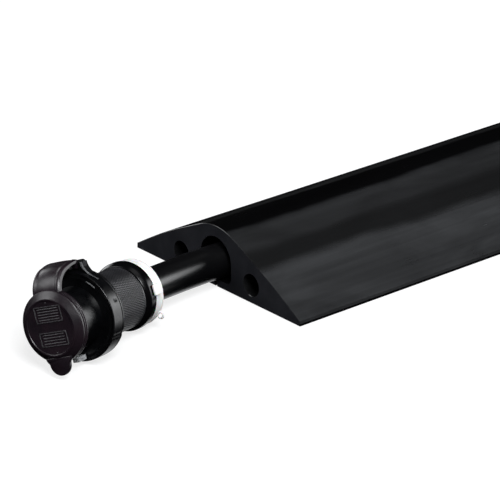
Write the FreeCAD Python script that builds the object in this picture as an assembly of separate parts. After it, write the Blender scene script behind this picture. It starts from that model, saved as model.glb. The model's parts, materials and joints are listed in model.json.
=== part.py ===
"""Cable protector ramp: a rubber duct with a power lead lying in its channel.

Millimetres. +X runs along the duct, +Z is up, and the origin is the middle of the duct's
underside. Each housing on the lead is built along its own +X axis, which points to its
front, with its origin at the centre of its flange's rear face, and is then put in place.
"""
import FreeCAD
import Part
import math
import os
from FreeCAD import Vector

# ---------------------------------------------------------------- driving dimensions
# Duct: an extruded rubber ramp with one main channel, split underneath, and two side bores.
LENGTH = 914.0
WIDTH = 165.0
HEIGHT = 42.2
EDGE_HEIGHT = 3.6
SHOULDER_Y = 15.5
SHOULDER_Z = 38.9
FLANK_BULGE = 1.29
CHANNEL_WIDTH = 29.8
CHANNEL_FLOOR = 5.6
CHANNEL_TOP = 34.3
CHANNEL_CORNER = 4.0
SLIT_WIDTH = 1.6
BORE_RADIUS = 7.45
BORE_Y = 35.2
BORE_Z = 12.25

# Lead: one heavy cable, with a socket housing at the near end and a plug at the far end.
CABLE_RADIUS = 11.375
CABLE_GAP = 0.3
CABLE_Z = CHANNEL_FLOOR + CABLE_GAP + CABLE_RADIUS
NEAR_STUB = 38.4
FAR_STUB = 83.0
HOUSING_TILT = 6.71
SOCKET_SWING = 17.8
PLUG_SWING = 12.0
SOCKET_ROLL = 20.0
PLUG_ROLL = 0.0
CABLE_END = -22.0
BEND_SHARE = 0.45

# Parts that the two housings share.
FLANGE_RADIUS = 28.1
FLANGE_LENGTH = 11.6
EDGE_BREAK = 0.8
SPIGOT_RADIUS = 16.6
SPIGOT_LENGTH = 14.0
SHELL_BORE = 14.8
RUNNING_GAP = 0.05
SAFE_GAP = 0.3
SLEEVE_RADIUS = 19.9
SLEEVE_FRONT = -1.9
SLEEVE_REAR = -35.4
SLEEVE_CAVITY = 15.6
TAIL_RADIUS = 17.5
TAIL_REAR = -40.4
TAIL_BORE = 13.4
COLLAR_RADIUS = 22.1
COLLAR_REAR = -44.6
NECK_RADIUS = 16.5
RING_RADIUS = 21.4
RING_BORE = 16.8
RING_FRONT = -44.9
RING_REAR = -52.8
RING_TAB_ANGLE = 81.0
RING_EYE_ANGLE = 139.0
GROMMET_RADIUS = 13.1
JAW_RADIUS = 15.2
JAW_FRONT = -25.0
JAW_REAR = -31.0

# Socket housing: the nose, and a sprung lid on a gooseneck arm.
NOSE_RADIUS = 17.3
NOSE_FRONT = 33.4
PIVOT_X = 5.0
PIVOT_Z = 30.6
EAR_RADIUS = 4.2
EAR_INNER = 7.9
EAR_OUTER = 10.5
KNUCKLE_RADIUS = 4.0
KNUCKLE_HALF = 7.6
PIN_RADIUS = 1.25
SPRING_HALF = 2.4
LID_FACE_X = 39.0
LID_FACE_RADIUS = 17.9
LID_RIM_X = 35.7
LID_RIM_RADIUS = 22.5
LID_SKIRT_REAR = 30.4
LID_SKIRT_BORE = 19.8
LID_FLOOR_X = 35.2
TAB_HALF = 7.6
TAB_TIP = 30.0

# Plug housing: a shroud that slides over the socket's nose, round three blades.
SHROUD_RADIUS = 21.3
SHROUD_BORE = 17.9
SHROUD_FRONT = 35.6
BLADE_FRONT = 32.0

# Contact pattern, shared by the socket and the plug.
BLADE_Y = 6.35
BLADE_Z = 3.2
BLADE_WIDTH = 6.3
BLADE_THICKNESS = 1.5
EARTH_Z = -8.7
EARTH_RADIUS = 2.4

# Small parts inside the housings.
SEAL_THICKNESS = 1.9
CORE_RADIUS = 1.7
CORE_SPREAD = 0.62
JAW_GAP = 1.0
JAW_SCREW_RADIUS = 0.9
JAW_SCREW_HALF = 5.0
TERMINAL_HALF_Y = 2.5
TERMINAL_HALF_Z = 3.0
TERMINAL_SCREW_RADIUS = 1.8
TERMINAL_SCREW_HEIGHT = 1.6
PIN_HEAD_RADIUS = 2.1
PIN_HEAD_LENGTH = 0.6
SPRING_RADIUS = 2.4
SPRING_TURNS = 6
INSERT_FRONT = 32.2
POCKET_FRONT = 30.2
POCKET_HALF_Y = 1.8
POCKET_HALF_Z = 3.8
TUBE_RADIUS = 3.4


# ---------------------------------------------------------------- shape helpers
def turned(points):
    """Solid of revolution about X of a closed outline of (x, radius) points."""
    loop = [Vector(x, 0, r) for x, r in points]
    face = Part.Face(Part.makePolygon(loop + loop[:1]))
    return face.revolve(Vector(0, 0, 0), Vector(1, 0, 0), 360)


def ring(x_low, x_high, bore, radius, edge=0.0):
    """Ring about X, with its outer edges broken by `edge`."""
    outline = [(x_low, bore), (x_low, radius - edge), (x_low + edge, radius)]
    outline += [(x_high - edge, radius), (x_high, radius - edge), (x_high, bore)]
    if edge == 0.0:
        outline = [(x_low, bore), (x_low, radius), (x_high, radius), (x_high, bore)]
    return turned(outline)


def block(x, y, z):
    """Box from three (low, high) pairs."""
    size = [high - low for low, high in (x, y, z)]
    return Part.makeBox(*size, Vector(x[0], y[0], z[0]))


def rod(start, end, radius):
    """Round bar between two points."""
    run = end - start
    return Part.makeCylinder(radius, run.Length, start, run)


def cross_rod(radius, half, x=PIVOT_X, z=PIVOT_Z):
    """Round bar along Y, from -half to half."""
    return Part.makeCylinder(radius, 2 * half, Vector(x, -half, z), Vector(0, 1, 0))


def fused(first, *others):
    """Union of solids as one clean solid."""
    return first.multiFuse(list(others)).removeSplitter()


def turned_about_x(shape, angle):
    """Copy of a shape, turned about the housing's axis from the top towards +Y."""
    copy = shape.copy()
    copy.rotate(Vector(0, 0, 0), Vector(1, 0, 0), -angle)
    return copy


# ---------------------------------------------------------------- duct
def flank(side):
    """Sloping upper face of the duct on one side, from the edge to the shoulder."""
    edge = Vector(0, side * WIDTH / 2, EDGE_HEIGHT)
    shoulder = Vector(0, side * SHOULDER_Y, SHOULDER_Z)
    run = shoulder - edge
    out = Vector(0, side * run.z, -side * run.y)
    middle = edge + run * 0.5 + out.normalize() * FLANK_BULGE
    return edge, middle, shoulder


def duct_outline():
    """Outer outline of the duct, run into the channel through the slit underneath."""
    left_edge, left_middle, left_shoulder = flank(-1)
    right_edge, right_middle, right_shoulder = flank(1)
    slit = SLIT_WIDTH / 2
    half = CHANNEL_WIDTH / 2
    spring_z = CHANNEL_TOP - half
    corner = CHANNEL_CORNER
    soft = corner * (1 - math.sqrt(0.5))
    pieces = []

    def line(y0, z0, y1, z1):
        pieces.append(Part.LineSegment(Vector(0, y0, z0), Vector(0, y1, z1)).toShape())

    def arc(start, middle, end):
        pieces.append(Part.Arc(start, middle, end).toShape())

    line(slit, 0, WIDTH / 2, 0)
    line(WIDTH / 2, 0, WIDTH / 2, EDGE_HEIGHT)
    arc(right_edge, right_middle, right_shoulder)
    arc(right_shoulder, Vector(0, 0, HEIGHT), left_shoulder)
    arc(left_shoulder, left_middle, left_edge)
    line(-WIDTH / 2, EDGE_HEIGHT, -WIDTH / 2, 0)
    line(-WIDTH / 2, 0, -slit, 0)
    line(-slit, 0, -slit, CHANNEL_FLOOR)
    line(-slit, CHANNEL_FLOOR, corner - half, CHANNEL_FLOOR)
    arc(Vector(0, corner - half, CHANNEL_FLOOR),
        Vector(0, soft - half, CHANNEL_FLOOR + soft),
        Vector(0, -half, CHANNEL_FLOOR + corner))
    line(-half, CHANNEL_FLOOR + corner, -half, spring_z)
    arc(Vector(0, -half, spring_z), Vector(0, 0, CHANNEL_TOP), Vector(0, half, spring_z))
    line(half, spring_z, half, CHANNEL_FLOOR + corner)
    arc(Vector(0, half, CHANNEL_FLOOR + corner),
        Vector(0, half - soft, CHANNEL_FLOOR + soft),
        Vector(0, half - corner, CHANNEL_FLOOR))
    line(half - corner, CHANNEL_FLOOR, slit, CHANNEL_FLOOR)
    line(slit, CHANNEL_FLOOR, slit, 0)
    return Part.Wire(pieces)


def make_duct():
    """The ramp itself: one rubber extrusion."""
    body = Part.Face(duct_outline()).extrude(Vector(LENGTH, 0, 0))
    body.translate(Vector(-LENGTH / 2, 0, 0))
    for side in (-1, 1):
        start = Vector(-LENGTH / 2 - 1, side * BORE_Y, BORE_Z)
        body = body.cut(Part.makeCylinder(BORE_RADIUS, LENGTH + 2, start, Vector(1, 0, 0)))
    return body


# ---------------------------------------------------------------- lead route
def aim(heading, swing, tilt):
    """Unit vector that starts along X (heading 1 or -1), swung sideways and tilted up."""
    level = math.cos(math.radians(tilt))
    turn = math.radians(swing)
    side = math.sin(turn) * level
    return Vector(heading * math.cos(turn) * level, heading * side, math.sin(math.radians(tilt)))


SOCKET_AIM = aim(-1, SOCKET_SWING, HOUSING_TILT)
PLUG_AIM = aim(1, PLUG_SWING, HOUSING_TILT)
NEAR_CORNER = Vector(-LENGTH / 2 - NEAR_STUB, 0, CABLE_Z)
FAR_CORNER = Vector(LENGTH / 2 + FAR_STUB, 0, CABLE_Z)
SOCKET_ORIGIN = NEAR_CORNER + SOCKET_AIM * (NEAR_STUB - RING_REAR)
PLUG_ORIGIN = FAR_CORNER + PLUG_AIM * (NEAR_STUB - RING_REAR)


def housing_frame(origin, direction, roll):
    """Placement of a housing: its axis on `direction`, rolled from upright."""
    up = Vector(0, 0, 1) - direction * direction.z
    up.normalize()
    side = up.cross(direction)
    turn = math.radians(roll)
    top = up * math.cos(turn) - side * math.sin(turn)
    flank_way = top.cross(direction)
    matrix = FreeCAD.Matrix(
        direction.x, flank_way.x, top.x, origin.x,
        direction.y, flank_way.y, top.y, origin.y,
        direction.z, flank_way.z, top.z, origin.z,
        0, 0, 0, 1)
    return FreeCAD.Placement(matrix)


SOCKET_FRAME = housing_frame(SOCKET_ORIGIN, SOCKET_AIM, SOCKET_ROLL)
PLUG_FRAME = housing_frame(PLUG_ORIGIN, PLUG_AIM, PLUG_ROLL)


def make_cable():
    """Cable along straight runs joined by tangent arcs."""
    route = [
        SOCKET_ORIGIN + SOCKET_AIM * CABLE_END,
        NEAR_CORNER,
        FAR_CORNER,
        PLUG_ORIGIN + PLUG_AIM * CABLE_END,
    ]
    edges = []
    start = route[0]
    for before, corner, after in zip(route, route[1:], route[2:]):
        back = before - corner
        ahead = after - corner
        reach = BEND_SHARE * min(back.Length, ahead.Length)
        back.normalize()
        ahead.normalize()
        half_turn = (math.pi - back.getAngle(ahead)) / 2
        radius = reach / math.tan(half_turn)
        print("cable bend radius", round(radius, 1), "turn", round(math.degrees(2 * half_turn), 1))
        enter = corner + back * reach
        leave = corner + ahead * reach
        centre_way = (back + ahead).normalize()
        middle = corner + centre_way * (radius / math.cos(half_turn) - radius)
        edges.append(Part.LineSegment(start, enter).toShape())
        edges.append(Part.Arc(enter, middle, leave).toShape())
        start = leave
    edges.append(Part.LineSegment(start, route[-1]).toShape())
    path = Part.Wire(edges)
    first_way = route[1] - route[0]
    section = Part.Wire(Part.makeCircle(CABLE_RADIUS, route[0], first_way))
    cable = path.makePipeShell([section], True, False)
    ideal = math.pi * CABLE_RADIUS ** 2 * path.Length
    print("cable length", round(path.Length, 1), "volume ratio", round(cable.Volume / ideal, 4))
    return cable


# ---------------------------------------------------------------- parts both housings have
def make_seal():
    """Ring seal between the shell's flange and the sleeve."""
    return ring(SLEEVE_FRONT + 0.3, 0, SPIGOT_RADIUS, SPIGOT_RADIUS + SEAL_THICKNESS, 0.4)


def make_sleeve():
    """Knurled sleeve, screwed on the shell's spigot, with a tail for the rear collar."""
    bore = SPIGOT_RADIUS + RUNNING_GAP
    step = -SPIGOT_LENGTH - 0.6
    return turned([
        (SLEEVE_FRONT, bore), (SLEEVE_FRONT, SLEEVE_RADIUS - 0.6),
        (SLEEVE_FRONT - 0.6, SLEEVE_RADIUS), (SLEEVE_REAR, SLEEVE_RADIUS),
        (SLEEVE_REAR, TAIL_RADIUS), (TAIL_REAR, TAIL_RADIUS), (TAIL_REAR, TAIL_BORE),
        (SLEEVE_REAR + 2.2, TAIL_BORE), (SLEEVE_REAR + 2.2, SLEEVE_CAVITY),
        (step, SLEEVE_CAVITY), (step, bore)])


def make_collar():
    """Rear collar, pressed on the sleeve's tail, with a neck for the lock ring."""
    return turned([
        (SLEEVE_REAR - 0.1, TAIL_RADIUS), (SLEEVE_REAR - 0.1, SLEEVE_RADIUS + 0.4),
        (SLEEVE_REAR - 3.0, COLLAR_RADIUS), (COLLAR_REAR + 1.0, COLLAR_RADIUS),
        (COLLAR_REAR, COLLAR_RADIUS - 0.8), (COLLAR_REAR, NECK_RADIUS),
        (RING_REAR + 0.4, NECK_RADIUS), (RING_REAR + 0.4, TAIL_BORE),
        (TAIL_REAR - 0.1, TAIL_BORE), (TAIL_REAR - 0.1, TAIL_RADIUS)])


def make_lock_ring():
    """Nylon lock ring, with a square tab over the collar and a small pull eye."""
    body = ring(RING_REAR, RING_FRONT, RING_BORE, RING_RADIUS, 0.4)
    tab_low = COLLAR_RADIUS + SAFE_GAP
    tab = block((RING_FRONT - 2.4, RING_FRONT + 4.1), (-3.5, 3.5), (tab_low, tab_low + 1.3))
    root = block((RING_FRONT - 2.4, RING_FRONT), (-3.5, 3.5), (RING_RADIUS - 1.2, tab_low + 1.0))
    eye = Part.makeTorus(1.9, 0.7, Vector(RING_REAR + 1.2, 0, RING_RADIUS + 1.6), Vector(1, 0, 0))
    tab = turned_about_x(fused(tab, root), RING_TAB_ANGLE)
    eye = turned_about_x(eye, RING_EYE_ANGLE)
    return fused(body, tab, eye)


def make_grommet():
    """Rubber bush between the cable and the collar's neck."""
    return ring(RING_REAR + 0.6, JAW_REAR - 0.2, CABLE_RADIUS, GROMMET_RADIUS)


def make_jaws():
    """Two half rings that grip the cable, a millimetre apart."""
    whole = ring(JAW_REAR, JAW_FRONT, CABLE_RADIUS, JAW_RADIUS)
    halves = []
    for side in (-1, 1):
        reach = (JAW_GAP / 2, 20) if side > 0 else (-20, -JAW_GAP / 2)
        halves.append(whole.common(block((JAW_REAR - 1, JAW_FRONT + 1), (-20, 20), reach)))
    bores = jaw_screws()
    return Part.makeCompound([half.cut(bores) for half in halves])


def jaw_screws():
    """Two screws across the split between the jaws."""
    middle = (JAW_REAR + JAW_FRONT) / 2
    y = (CABLE_RADIUS + JAW_RADIUS) / 2
    half = JAW_SCREW_HALF
    ends = [(Vector(middle, side * y, -half), Vector(middle, side * y, half)) for side in (-1, 1)]
    return Part.makeCompound([rod(low, high, JAW_SCREW_RADIUS) for low, high in ends])


def make_wires(rear_x):
    """Three cores, from the cable's cut end to the terminal blocks."""
    ends = [(-BLADE_Y, BLADE_Z), (BLADE_Y, BLADE_Z), (0, EARTH_Z)]
    cores = []
    for y, z in ends:
        start = Vector(CABLE_END, y * CORE_SPREAD, z * CORE_SPREAD)
        bend_a = start + Vector(6, 0, 0)
        stop = Vector(rear_x, y, z)
        bend_b = stop - Vector(5, 0, 0)
        joints = [Part.makeSphere(CORE_RADIUS, point) for point in (bend_a, bend_b)]
        runs = [rod(bend_a, bend_b, CORE_RADIUS), rod(bend_b, stop, CORE_RADIUS)]
        cores.append(fused(rod(start, bend_a, CORE_RADIUS), *runs, *joints))
    return Part.makeCompound(cores)


def terminal(y, z, x_low, x_high):
    """Brass block at the rear of a contact."""
    y_span = (y - TERMINAL_HALF_Y, y + TERMINAL_HALF_Y)
    return block((x_low, x_high), y_span, (z - TERMINAL_HALF_Z, z + TERMINAL_HALF_Z))


def make_terminal_screws(x):
    """Clamping screws on the outer sides of the three terminal blocks."""
    screws = []
    for y in (-BLADE_Y, BLADE_Y):
        side = 1 if y > 0 else -1
        face = Vector(x, y + side * TERMINAL_HALF_Y, BLADE_Z)
        head = face + Vector(0, side * TERMINAL_SCREW_HEIGHT, 0)
        screws.append(rod(face, head, TERMINAL_SCREW_RADIUS))
    face = Vector(x, 0, EARTH_Z - TERMINAL_HALF_Z)
    head = face - Vector(0, 0, TERMINAL_SCREW_HEIGHT)
    screws.append(rod(face, head, TERMINAL_SCREW_RADIUS))
    return Part.makeCompound(screws)


# ---------------------------------------------------------------- socket housing
def make_socket_shell():
    """Shell of the socket: rear spigot, wide flange, nose and the lid's hinge ears."""
    body = turned([
        (-SPIGOT_LENGTH, SHELL_BORE), (-SPIGOT_LENGTH, SPIGOT_RADIUS), (0, SPIGOT_RADIUS),
        (0, FLANGE_RADIUS - EDGE_BREAK), (EDGE_BREAK, FLANGE_RADIUS),
        (FLANGE_LENGTH - EDGE_BREAK, FLANGE_RADIUS), (FLANGE_LENGTH, FLANGE_RADIUS - EDGE_BREAK),
        (FLANGE_LENGTH, NOSE_RADIUS), (NOSE_FRONT - 0.6, NOSE_RADIUS),
        (NOSE_FRONT, NOSE_RADIUS - 0.6), (NOSE_FRONT, SHELL_BORE)])
    ears = []
    for low, high in ((-EAR_OUTER, -EAR_INNER), (EAR_INNER, EAR_OUTER)):
        web = block((PIVOT_X - EAR_RADIUS, PIVOT_X + EAR_RADIUS), (low, high), (22, PIVOT_Z))
        start = Vector(PIVOT_X, low, PIVOT_Z)
        eye = Part.makeCylinder(EAR_RADIUS, high - low, start, Vector(0, 1, 0))
        ears.append(fused(web, eye))
    body = fused(body, *ears)
    body = body.cut(cross_rod(KNUCKLE_RADIUS + 0.4, EAR_INNER))
    return body.cut(cross_rod(PIN_RADIUS, EAR_OUTER + 1))


def arm_outline():
    """Side outline of the gooseneck arm, from the knuckle to the lid's rim."""
    top_start = Vector(PIVOT_X, 0, PIVOT_Z + KNUCKLE_RADIUS)
    top_crest = Vector(13.0, 0, 36.0)
    top_mid = Vector(21.0, 0, 34.9)
    top_fall = Vector(30.6, 0, 30.2)
    top_end = Vector(35.7, 0, 20.4)
    low_end = Vector(32.8, 0, 20.4)
    low_fall = Vector(28.6, 0, 28.2)
    low_mid = Vector(20.2, 0, 32.3)
    low_crest = Vector(14.0, 0, 33.4)
    low_start = Vector(PIVOT_X + 3.4, 0, PIVOT_Z + 1.9)
    return Part.Wire([
        Part.Arc(top_start, top_crest, top_mid).toShape(),
        Part.Arc(top_mid, top_fall, top_end).toShape(),
        Part.LineSegment(top_end, low_end).toShape(),
        Part.Arc(low_end, low_fall, low_mid).toShape(),
        Part.Arc(low_mid, low_crest, low_start).toShape(),
        Part.LineSegment(low_start, Vector(PIVOT_X, 0, PIVOT_Z)).toShape(),
        Part.LineSegment(Vector(PIVOT_X, 0, PIVOT_Z), top_start).toShape()])


def make_lid():
    """Flip lid: a shallow cap over the nose, its lift tab, and the gooseneck arm."""
    cap = turned([
        (LID_FLOOR_X, 0), (LID_FACE_X, 0), (LID_FACE_X, LID_FACE_RADIUS),
        (LID_RIM_X, LID_RIM_RADIUS), (LID_RIM_X - 1.3, LID_RIM_RADIUS),
        (LID_RIM_X - 1.6, LID_RIM_RADIUS - 0.7), (LID_RIM_X - 2.6, LID_RIM_RADIUS - 0.7),
        (LID_RIM_X - 2.9, LID_RIM_RADIUS - 0.2), (LID_SKIRT_REAR, LID_RIM_RADIUS - 0.2),
        (LID_SKIRT_REAR, LID_SKIRT_BORE), (LID_FLOOR_X, LID_SKIRT_BORE)])
    tip_z = -(TAB_TIP - TAB_HALF)
    tab_x = (LID_FLOOR_X + 0.6, LID_FACE_X - 0.6)
    tab = block(tab_x, (-TAB_HALF, TAB_HALF), (tip_z, -14))
    start = Vector(tab_x[0], 0, tip_z)
    tip = Part.makeCylinder(TAB_HALF, tab_x[1] - tab_x[0], start, Vector(1, 0, 0))
    arm = Part.Face(arm_outline()).extrude(Vector(0, 2 * EAR_OUTER, 0))
    arm.translate(Vector(0, -EAR_OUTER, 0))
    for low, high in ((-EAR_OUTER - 1, -KNUCKLE_HALF), (KNUCKLE_HALF, EAR_OUTER + 1)):
        arm = arm.cut(block((0, 8.2), (low, high), (20, 40)))
        start = Vector(PIVOT_X, low, PIVOT_Z)
        arm = arm.cut(Part.makeCylinder(EAR_RADIUS + 0.5, high - low, start, Vector(0, 1, 0)))
    knuckle = cross_rod(KNUCKLE_RADIUS, KNUCKLE_HALF)
    lid = fused(cap, tab, tip, arm, knuckle)
    lid = lid.cut(cross_rod(PIN_RADIUS + RUNNING_GAP, KNUCKLE_HALF + 1))
    return lid.cut(cross_rod(KNUCKLE_RADIUS + 0.01, SPRING_HALF + SAFE_GAP))


def make_gasket():
    """Flat ring seal inside the lid."""
    return ring(NOSE_FRONT + 0.1, LID_FLOOR_X, 12.5, NOSE_RADIUS - 0.1)


def make_pin():
    """Hinge pin, headed at both ends."""
    heads = []
    for y, way in ((EAR_OUTER, 1), (-EAR_OUTER, -1)):
        start = Vector(PIVOT_X, y, PIVOT_Z)
        heads.append(Part.makeCylinder(PIN_HEAD_RADIUS, PIN_HEAD_LENGTH, start, Vector(0, way, 0)))
    return fused(cross_rod(PIN_RADIUS, EAR_OUTER), *heads)


def make_spring():
    """Torsion spring that closes the lid: close-wound turns round the pin."""
    pitch = 2 * SPRING_HALF / SPRING_TURNS
    wire_radius = pitch * 0.56
    coils = []
    for turn in range(SPRING_TURNS):
        centre = Vector(PIVOT_X, pitch * (turn + 0.5) - SPRING_HALF, PIVOT_Z)
        coils.append(Part.makeTorus(SPRING_RADIUS, wire_radius, centre, Vector(0, 1, 0)))
    return fused(*coils)


def make_latch_lug():
    """Nylon catch bar under the nose, on the front of the flange."""
    lug = block((FLANGE_LENGTH, FLANGE_LENGTH + 8), (-4.6, 0.4), (-26.6, -23.4))
    return lug.makeFillet(0.5, lug.Edges)


def earth_tube(x_low, x_high, radius):
    """Round bar at the earth contact's place."""
    return rod(Vector(x_low, 0, EARTH_Z), Vector(x_high, 0, EARTH_Z), radius)


def contact_block(x_low, y, half_y):
    """Bar that fills a contact's pocket, from x_low to the pocket's front."""
    z_span = (BLADE_Z - POCKET_HALF_Z, BLADE_Z + POCKET_HALF_Z)
    return block((x_low, POCKET_FRONT), (y - half_y, y + half_y), z_span)


def make_socket_carrier():
    """Insulating insert of the socket, with a slot and a pocket for each contact."""
    body = rod(Vector(8, 0, 0), Vector(INSERT_FRONT, 0, 0), SHELL_BORE)
    for y in (-BLADE_Y, BLADE_Y):
        body = body.cut(contact_block(7, y, POCKET_HALF_Y))
        slot_z = (BLADE_Z - BLADE_WIDTH / 2 - 0.25, BLADE_Z + BLADE_WIDTH / 2 + 0.25)
        body = body.cut(block((30, 33), (y - 1.0, y + 1.0), slot_z))
    body = body.cut(earth_tube(7, POCKET_FRONT, TUBE_RADIUS))
    return body.cut(earth_tube(30, 33, EARTH_RADIUS + 0.2))


def make_socket_contacts():
    """Three sprung brass contacts, each on its terminal block."""
    contacts = []
    for y in (-BLADE_Y, BLADE_Y):
        clip = contact_block(8, y, POCKET_HALF_Y)
        clip = clip.cut(block((11, 31), (y - 0.8, y + 0.8), (BLADE_Z - 4, BLADE_Z + 4)))
        contacts.append(fused(terminal(y, BLADE_Z, 1, 8), clip))
    tube = earth_tube(8, POCKET_FRONT, TUBE_RADIUS)
    tube = tube.cut(earth_tube(11, 31, EARTH_RADIUS + RUNNING_GAP))
    contacts.append(fused(terminal(0, EARTH_Z + 0.6, 1, 8), tube))
    return Part.makeCompound(contacts)


# ---------------------------------------------------------------- plug housing
def make_plug_shell():
    """Shell of the plug: rear spigot, wide flange and the shroud round the blades."""
    return turned([
        (-SPIGOT_LENGTH, SHELL_BORE), (-SPIGOT_LENGTH, SPIGOT_RADIUS), (0, SPIGOT_RADIUS),
        (0, FLANGE_RADIUS - EDGE_BREAK), (EDGE_BREAK, FLANGE_RADIUS),
        (FLANGE_LENGTH - EDGE_BREAK, FLANGE_RADIUS), (FLANGE_LENGTH, FLANGE_RADIUS - EDGE_BREAK),
        (FLANGE_LENGTH, SHROUD_RADIUS), (SHROUD_FRONT - 0.6, SHROUD_RADIUS),
        (SHROUD_FRONT, SHROUD_RADIUS - 0.6), (SHROUD_FRONT, SHROUD_BORE),
        (14, SHROUD_BORE), (14, SHELL_BORE)])


def blade_parts(grow=0.0):
    """The two flat blades, grown by a margin where they pass through the insert."""
    half_y = BLADE_THICKNESS / 2 + grow
    half_z = BLADE_WIDTH / 2 + grow
    sides = (-BLADE_Y, BLADE_Y)
    z = (BLADE_Z - half_z, BLADE_Z + half_z)
    return [block((1, BLADE_FRONT), (y - half_y, y + half_y), z) for y in sides]


def make_plug_carrier():
    """Insulating insert of the plug."""
    body = rod(Vector(3, 0, 0), Vector(14, 0, 0), SHELL_BORE)
    return body.cut(Part.makeCompound(blade_parts() + [earth_tube(1, 15, EARTH_RADIUS)]))


def make_blades():
    """The two current-carrying blades, each on its terminal block."""
    sides = zip(blade_parts(), (-BLADE_Y, BLADE_Y))
    return Part.makeCompound([fused(blade, terminal(y, BLADE_Z, -4, 3)) for blade, y in sides])


def make_earth_pin():
    """Earth pin on its terminal block, with a rounded tip."""
    pin = earth_tube(1, BLADE_FRONT + 1, EARTH_RADIUS)
    tip = Part.makeSphere(EARTH_RADIUS, Vector(BLADE_FRONT + 1, 0, EARTH_Z))
    return fused(pin, tip, terminal(0, EARTH_Z + 0.6, -4, 3))


def make_shroud_seal():
    """Flat ring seal at the bottom of the shroud."""
    return ring(14, 15.2, SHELL_BORE, SHROUD_BORE)


# ---------------------------------------------------------------- assembly
SOCKET_PARTS = {
    "socket_shell": make_socket_shell(),
    "flip_lid": make_lid(),
    "lid_gasket": make_gasket(),
    "lid_hinge_pin": make_pin(),
    "lid_spring": make_spring(),
    "latch_lug": make_latch_lug(),
    "socket_insert": make_socket_carrier(),
    "socket_contacts": make_socket_contacts(),
    "socket_terminal_screws": make_terminal_screws(4.5),
    "socket_core_wires": make_wires(1.0),
    "socket_body_seal": make_seal(),
    "knurled_sleeve": make_sleeve(),
    "rear_collar": make_collar(),
    "lock_ring": make_lock_ring(),
    "cable_grommet": make_grommet(),
    "cable_clamp_jaws": make_jaws(),
    "cable_clamp_screws": jaw_screws(),
}

PLUG_PARTS = {
    "plug_shell": make_plug_shell(),
    "plug_insert": make_plug_carrier(),
    "plug_blades": make_blades(),
    "plug_earth_pin": make_earth_pin(),
    "plug_terminal_screws": make_terminal_screws(-0.5),
    "plug_core_wires": make_wires(-4.0),
    "plug_shroud_seal": make_shroud_seal(),
    "plug_body_seal": make_seal(),
    "plug_sleeve": make_sleeve(),
    "plug_rear_collar": make_collar(),
    "plug_lock_ring": make_lock_ring(),
    "plug_grommet": make_grommet(),
    "plug_clamp_jaws": make_jaws(),
    "plug_clamp_screws": jaw_screws(),
}


def moved(shape, frame):
    """Copy of a shape, put in place with its housing."""
    copy = shape.copy()
    copy.Placement = frame.multiply(copy.Placement)
    return copy


def main():
    os.makedirs("parts", exist_ok=True)
    nodes = {"duct_extrusion": make_duct(), "power_cable": make_cable()}
    for parts, frame in ((SOCKET_PARTS, SOCKET_FRAME), (PLUG_PARTS, PLUG_FRAME)):
        for name, shape in parts.items():
            nodes[name] = moved(shape, frame)
    for name, shape in nodes.items():
        box = shape.BoundBox
        print(name, "valid" if shape.isValid() else "INVALID", len(shape.Solids), "solids",
              "z", round(box.ZMin, 2), round(box.ZMax, 2), "volume", round(shape.Volume))
        shape.exportStep("parts/" + name + ".step")
    print("socket origin", SOCKET_ORIGIN, "axis", SOCKET_AIM)
    print("plug origin", PLUG_ORIGIN, "axis", PLUG_AIM)


main()
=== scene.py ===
"""Looks of the cable protector ramp and its power lead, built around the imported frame.

Places are metres in the frame of the CAD model. Shapes of the two housings are written in
millimetres along each housing's own axes: x to its front, z to its hinge side, y across.
"""
import json
import math

import bmesh
import bpy
import numpy as np
from mathutils import Matrix, Vector


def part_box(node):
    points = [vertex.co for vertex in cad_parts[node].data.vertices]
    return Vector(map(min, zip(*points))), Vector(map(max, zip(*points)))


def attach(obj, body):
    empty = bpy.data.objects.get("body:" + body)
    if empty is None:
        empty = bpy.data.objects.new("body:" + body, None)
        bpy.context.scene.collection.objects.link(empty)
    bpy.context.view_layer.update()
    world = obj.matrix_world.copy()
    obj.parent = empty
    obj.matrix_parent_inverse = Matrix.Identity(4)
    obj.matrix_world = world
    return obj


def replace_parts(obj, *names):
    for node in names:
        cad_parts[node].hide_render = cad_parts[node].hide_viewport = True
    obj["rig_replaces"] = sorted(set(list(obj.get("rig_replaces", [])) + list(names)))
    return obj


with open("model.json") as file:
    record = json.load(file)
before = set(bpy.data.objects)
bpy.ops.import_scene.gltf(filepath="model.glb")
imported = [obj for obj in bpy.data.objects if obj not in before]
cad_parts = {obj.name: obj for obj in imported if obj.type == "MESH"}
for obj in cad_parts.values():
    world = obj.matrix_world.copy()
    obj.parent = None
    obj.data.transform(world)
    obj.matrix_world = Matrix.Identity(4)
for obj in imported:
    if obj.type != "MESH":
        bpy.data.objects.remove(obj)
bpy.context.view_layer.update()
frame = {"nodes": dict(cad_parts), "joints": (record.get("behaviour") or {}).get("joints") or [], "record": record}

MM = 0.001
JOINTS = {joint["name"]: joint for joint in frame["joints"]}
SLOT_OF = {part["node"]: part["material_slot"] for part in frame["record"]["subparts"]}

# ---------------------------------------------------------------- driving dimensions
# Camera, aimed from the middle of the duct's near end, on the floor.
LENS = 220.0
HEADING = 39.925
ELEVATION = 23.387
ROLL = -0.287
CAMERA_DISTANCE = 1.9723
CAMERA_RIGHT = 0.0219
CAMERA_UP = 0.0232

# Duct, in millimetres, as in the CAD model.
SHOULDER_Y = 15.5
SHOULDER_Z = 38.9
EDGE_HEIGHT = 3.6
FLANK_BULGE = 1.29
CHANNEL_HALF = 14.9
CHANNEL_FLOOR = 5.6
CHANNEL_TOP = 34.3
CHANNEL_CORNER = 4.0
SLIT_HALF = 0.8
BORE_RADIUS = 7.45
BORE_Y = 35.2
BORE_Z = 12.25
CUT_EDGE = 0.3

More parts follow.
